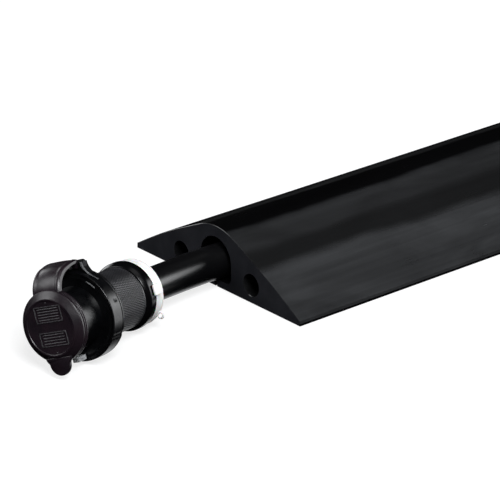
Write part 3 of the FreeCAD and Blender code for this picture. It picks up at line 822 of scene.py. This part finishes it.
def socket_shell():
    """Shell: rear spigot, deep flange with a lipped front, and the nose."""
    front = FLANGE_LENGTH
    inner = front - FLANGE_RECESS
    steps = 10
    band = [(2.6 + (front - 2.6) * k / steps, FLANGE_RADIUS) for k in range(steps)]
    flare = [(33.0 - 22.0 * k / 12, NOSE_RADIUS + NOSE_FLARE * (k / 12) ** 2) for k in range(13)]
    outline = [(-14.0, SHELL_BORE), (-14.0, SPIGOT_RADIUS, 0.4), (0, SPIGOT_RADIUS),
               (0, FLANGE_RADIUS - 0.1, 0.8), (1.7, FLANGE_RADIUS - 0.1, 0.2),
               (1.9, FLANGE_RADIUS - 0.7, 0.1), (2.2, FLANGE_RADIUS - 0.7, 0.1)] + band
    outline += [(front, FLANGE_RADIUS, 0.7), (front, 26.9, 0.3), (inner, 26.3, 0.3)]
    outline += flare[::-1] + [(33.4, NOSE_RADIUS - 0.3), (33.4, SHELL_BORE, 0.3)]
    body = lathe(outline, flange_warp, 240)
    recess = lathe([(inner - 0.3, 18.6), (inner - 0.3, 26.0), (inner + 0.06, 26.0),
                    (inner + 0.06, 18.6)], segments=120)
    return [body, (*recess, 1)] + ears() + gussets() + rib()


def ears():
    """Hinge ears, matt like the recess."""
    web = [(PIVOT_X - EAR_RADIUS, 22.0), (PIVOT_X + EAR_RADIUS, 22.0)]
    top = [(PIVOT_X + EAR_RADIUS * math.cos(math.pi * k / 16),
            PIVOT_Z + EAR_RADIUS * math.sin(math.pi * k / 16)) for k in range(17)]
    spans = ((-EAR_OUTER, -EAR_INNER), (EAR_INNER, EAR_OUTER))
    return [(*prism(web + top, low, high, "y", 0.4), 1) for low, high in spans]


def gussets():
    """Foot of each ear, sweeping out into the flange, with a raised lip on its edge."""
    shapes = []
    for side in (-1, 1):
        sweep = []
        for k in range(15):
            t = k / 14
            y = 10.6 + 1.2 * t + 7.6 * t ** 2.2
            z = 32.3 - 12.3 * t ** 0.9
            sweep.append((y * side, z))
        plate = sweep + [(14.0 * side, 20.5), (9.0 * side, 24.0), (9.0 * side, 31.8)]
        shapes.append((*prism(plate, 1.6, 8.2, "x", 0.3), 1))
        lip = bead([(8.0 - 1.4 * k / 14, y, z) for k, (y, z) in enumerate(sweep)], 0.8)
        # The lip bead takes the third finish, a pale painted highlight.
        shapes.append((*lip, 2))
    return shapes


def bead(line, radius, around=12):
    """Round bead along a line of points, closed at both ends."""
    line = np.array(line, float)
    rings = []
    for index, point in enumerate(line):
        ahead = line[min(index + 1, len(line) - 1)] - line[max(index - 1, 0)]
        ahead = Vector(ahead).normalized()
        side = ahead.cross(Vector((0, 1, 0) if abs(ahead.y) < 0.7 else (0, 0, 1))).normalized()
        over = side.cross(ahead)
        for k in range(around):
            a = k * 2 * math.pi / around
            offset = side * math.cos(a) * radius + over * math.sin(a) * radius
            rings.append(point + np.array(offset))
    return np.array(rings), wrap_faces(len(line), around, True)


def rib():
    """Short rib on the flange's front lip, beside the hinge."""
    line = []
    for k in range(9):
        a = math.radians(34 + 16 * k / 8)
        line.append((FLANGE_LENGTH - 0.3, 24.6 * math.sin(a), 24.6 * math.cos(a)))
    # The rib takes the third finish, a pale painted highlight.
    return [(*bead(line, 0.45), 2)]


def arm_sections():
    """Top and under points (x, z) of the arm, from the knuckle to the rim."""
    top = arc_points((PIVOT_X, PIVOT_Z + KNUCKLE_RADIUS), (13.0, 35.5), (21.0, 34.7), 20)
    top += arc_points((21.0, 34.7), (30.6, 30.2), (35.7, 20.4), 28) + [(35.7, 20.4)]
    low = arc_points((PIVOT_X + 3.4, PIVOT_Z + 1.9), (14.0, 33.4), (20.2, 32.3), 20)
    low += arc_points((20.2, 32.3), (28.6, 28.2), (32.8, 20.4), 28) + [(32.8, 20.4)]
    return np.array(top), np.array(low)


def lid_arm():
    """Gooseneck arm: a crowned strap with a thick lip along each side."""
    top, low = arm_sections()
    share = np.concatenate([np.linspace(-1, -0.72, 5), np.linspace(-0.66, 0.66, 13),
                            np.linspace(0.72, 1, 5)])
    rings = []
    for (tx, tz), (lx, lz) in zip(top, low):
        half = KNUCKLE_HALF if tx < 9.4 else ARM_HALF
        y = share * half
        up = np.array([tx - lx, tz - lz])
        up /= np.linalg.norm(up)
        edge = np.clip((np.abs(share) - LIP_START) / LIP_RUN, 0, 1)
        edge = edge * edge * (3 - 2 * edge)
        fall = 1 - np.clip((np.abs(share) - ROUND_START) / ROUND_RUN, 0, 1) ** 2 * 0.9
        over = -ARM_CROWN * y * y + LIP_OVER * edge * fall - (1 - fall) * 0.5
        under = -ARM_CROWN * y * y - LIP_UNDER * edge * fall + (1 - fall) * 0.4
        upper = [(tx + up[0] * o, yy, tz + up[1] * o) for yy, o in zip(y, over)]
        lower = [(lx + up[0] * u, yy, lz + up[1] * u) for yy, u in zip(y, under)]
        rings.append(np.array(upper + lower[::-1]))
    return np.concatenate(rings), wrap_faces(len(rings), len(share) * 2, True)


def lid_cap():
    """Cap of the lid, with two grooves round its skirt and a stepped face."""
    return lathe([(35.2, 0.0), (FACE_X, 0.0), (FACE_X, 16.7, 0.2), (39.0, 17.0, 0.15),
                  (39.0, 17.9, 0.3), (38.6, 18.5, 0.2), (36.1, 22.1, 0.4), (35.7, 22.5, 0.3),
                  (34.5, 22.5, 0.3), (34.2, 21.7, 0.15), (33.7, 21.7, 0.15), (33.4, 22.4, 0.25),
                  (32.7, 22.4, 0.25), (32.4, 21.7, 0.15), (31.9, 21.7, 0.15), (31.6, 22.3, 0.25),
                  (30.4, 22.3, 0.4), (30.4, 19.8, 0.2), (35.2, 19.8)], segments=200)


def lid_tab():
    """Lift tab under the lid: a rounded tongue with a soft edge."""
    centre_z = TAB_HALF - TAB_TIP
    side = [(9.8, -18.6), (9.0, -20.6), (8.0, -21.8)]
    end = [(TAB_HALF * math.cos(math.pi * k / 24), centre_z - TAB_HALF * math.sin(math.pi * k / 24))
           for k in range(25)]
    outline = [(-y, z) for y, z in side] + [(-y, z) for y, z in end]
    outline += [(y, z) for y, z in side[::-1]]
    return prism(outline, 35.8, 38.4, "x", 0.7)


def frame_plate(y, z, ribs):
    """Blank raised plate on the lid's face: a border round level plain ribs."""
    border = 0.55
    height = 0.45
    shapes = []
    (y0, y1), (z0, z1) = y, z
    bars = [((y0, y1), (z0, z0 + border)), ((y0, y1), (z1 - border, z1)),
            ((y0, y0 + border), (z0, z1)), ((y1 - border, y1), (z0, z1))]
    for (a, b), (c, d) in bars:
        shapes.append(prism([(a, c), (b, c), (b, d), (a, d)], FACE_X - 0.2, FACE_X + height,
                            "x", 0.12))
    for k in range(ribs):
        level = z0 + (z1 - z0) * (k + 1) / (ribs + 1)
        ends = (y0 + 2.2, level), (y1 - 2.2, level)
        line = [(FACE_X, *point) for point in line_points(*ends, 8)] + [(FACE_X, *ends[1])]
        shapes.append(bead(line, 0.32, 8))
    return shapes


def flip_lid():
    """The whole lid: cap, arm, knuckle and tab, then the raised work on its face."""
    knuckle = []
    for low, high in ((-KNUCKLE_HALF, -2.7), (2.7, KNUCKLE_HALF)):
        circle = [(PIVOT_X + KNUCKLE_RADIUS * math.cos(2 * math.pi * k / 40),
                   PIVOT_Z + KNUCKLE_RADIUS * math.sin(2 * math.pi * k / 40)) for k in range(40)]
        knuckle.append(prism(circle, low, high, "y", 0.3))
    relief = frame_plate(**LID_UPPER_PLATE) + frame_plate(**LID_LOWER_PLATE)
    relief += [dome((FACE_X, 0.7, z), 0.55, 0.35) for z in (-15.6, 15.6)]
    plain = [lid_cap(), lid_arm(), lid_tab()] + knuckle
    return plain + [(points, faces, 1) for points, faces in relief]


def latch_lug():
    """Nylon catch bar under the nose."""
    return [prism([(11.6, -26.6, 0.4), (19.6, -26.6, 0.6), (19.6, -23.4, 0.6), (11.6, -23.4, 0.4)],
                  -4.6, 0.4, "y", 0.5)]


def plug_shell():
    """Shell of the plug: spigot, flange and the shroud round the blades."""
    return [lathe([(-14.0, SHELL_BORE), (-14.0, SPIGOT_RADIUS, 0.4), (0, SPIGOT_RADIUS),
                   (0, FLANGE_RADIUS, 1.1), (FLANGE_LENGTH, FLANGE_RADIUS, 0.9),
                   (FLANGE_LENGTH, 26.7, 0.3), (FLANGE_LENGTH - FLANGE_RECESS, 26.1, 0.3),
                   (FLANGE_LENGTH - FLANGE_RECESS, 23.4, 0.3), (FLANGE_LENGTH, 22.8, 0.3),
                   (FLANGE_LENGTH, SHROUD_RADIUS, 0.4), (33.0, SHROUD_RADIUS, 0.2),
                   (33.3, SHROUD_RADIUS - 0.5, 0.15), (33.9, SHROUD_RADIUS - 0.5, 0.15),
                   (34.2, SHROUD_RADIUS, 0.2), (35.6, SHROUD_RADIUS, 0.5),
                   (35.6, SHROUD_BORE, 0.4), (14.0, SHROUD_BORE), (14.0, SHELL_BORE)])]


def make_housings(materials):
    """Every remade piece of the two housings."""
    socket = housing_matrix("socket_sleeve_turn", -Vector(JOINTS["lid_hinge"]["axis"]))
    plug = housing_matrix("plug_sleeve_turn")
    rows = [
        ("socket_body", socket_shell(), socket, "lead", "socket_shell"),
        ("lid", flip_lid(), socket, "lid", "flip_lid"),
        ("catch_bar", latch_lug(), socket, "lead", "latch_lug"),
        ("sleeve_knurled", [knurled_sleeve()], socket, "socket_sleeve", "knurled_sleeve"),
        ("collar_polished", [rear_collar()], socket, "socket_sleeve", "rear_collar"),
        ("ring_nylon", lock_ring(), socket, "socket_lock_ring", "lock_ring"),
        ("plug_body", plug_shell(), plug, "lead", "plug_shell"),
        ("plug_sleeve_knurled", [knurled_sleeve()], plug, "plug_sleeve_body", "plug_sleeve"),
        ("plug_collar_polished", [rear_collar()], plug, "plug_sleeve_body", "plug_rear_collar"),
        ("plug_ring_nylon", lock_ring(), plug, "plug_lock_ring_body", "plug_lock_ring"),
    ]
    made = {}
    for name, shapes, matrix, body, node in rows:
        slot = SLOT_OF[node]
        sharp = 8.0 if slot == "sleeve_black" else 35.0
        finishes = [materials[finish] for finish in (slot, *SECOND_FINISH.get(slot, ()))]
        made[name] = make_piece(name, shapes, matrix, finishes, body, [node], sharp)
    return made


# ---------------------------------------------------------------- stage
def make_floor():
    """Plain white floor that glows, shows soft contact shadows and throws no light back.

    It lets light through from below, so the cards under the horizon reach the object.
    """
    bpy.ops.mesh.primitive_plane_add(size=FLOOR_SIZE, location=(0, 0, -FLOOR_DROP))
    floor = bpy.context.object
    floor.name = "floor"
    floor.visible_diffuse = False
    floor.visible_glossy = False
    floor.visible_shadow = False
    made = bpy.data.materials.new("floor_white")
    made.use_nodes = True
    shader = made.node_tree.nodes["Principled BSDF"]
    shader.inputs["Base Color"].default_value = (FLOOR_GREY, FLOOR_GREY, FLOOR_GREY, 1)
    shader.inputs["Roughness"].default_value = 0.9
    shader.inputs["Specular IOR Level"].default_value = 0.0
    shader.inputs["Emission Color"].default_value = (1, 1, 1, 1)
    shader.inputs["Emission Strength"].default_value = FLOOR_GLOW
    floor.data.materials.append(made)


def make_world():
    """Dark studio with soft light cards round it."""
    world = bpy.data.worlds.new("studio")
    bpy.context.scene.world = world
    world.use_nodes = True
    tree = world.node_tree
    where = add(tree, "TexCoord").outputs["Generated"]
    total = AMBIENT
    for direction, reach, soft, radiance in CARDS:
        way = tuple(Vector(direction).normalized())
        dot = add(tree, "VectorMath", operation="DOT_PRODUCT")
        tree.links.new(where, dot.inputs[0])
        dot.inputs[1].default_value = way
        edge = math.cos(math.radians(reach + soft))
        full = math.cos(math.radians(reach - soft))
        share = levels(tree, dot.outputs["Value"], edge, full, 0.0, radiance)
        share.node.interpolation_type = "SMOOTHSTEP"
        total = maths(tree, "ADD", share, total)
    background = tree.nodes["Background"]
    background.inputs["Color"].default_value = LIGHT_COLOUR
    tree.links.new(total, background.inputs["Strength"])


# ---------------------------------------------------------------- assembly
def dress_nodes(materials):
    """Gives every CAD node the material of its slot."""
    for name, node in frame["nodes"].items():
        finish = "steel_blackened" if name == "lid_hinge_pin" else SLOT_OF[name]
        node.data.materials.clear()
        node.data.materials.append(materials[finish])


make_camera()
MATERIALS = make_materials()
dress_nodes(MATERIALS)
HOUSINGS = make_housings(MATERIALS)
make_cable(MATERIALS["cable_jacket"])
make_duct([MATERIALS["duct_rubber"], MATERIALS["duct_cut_face"]])
make_floor()
make_world()
bpy.context.scene.view_settings.view_transform = "Standard"
bpy.context.view_layer.update()
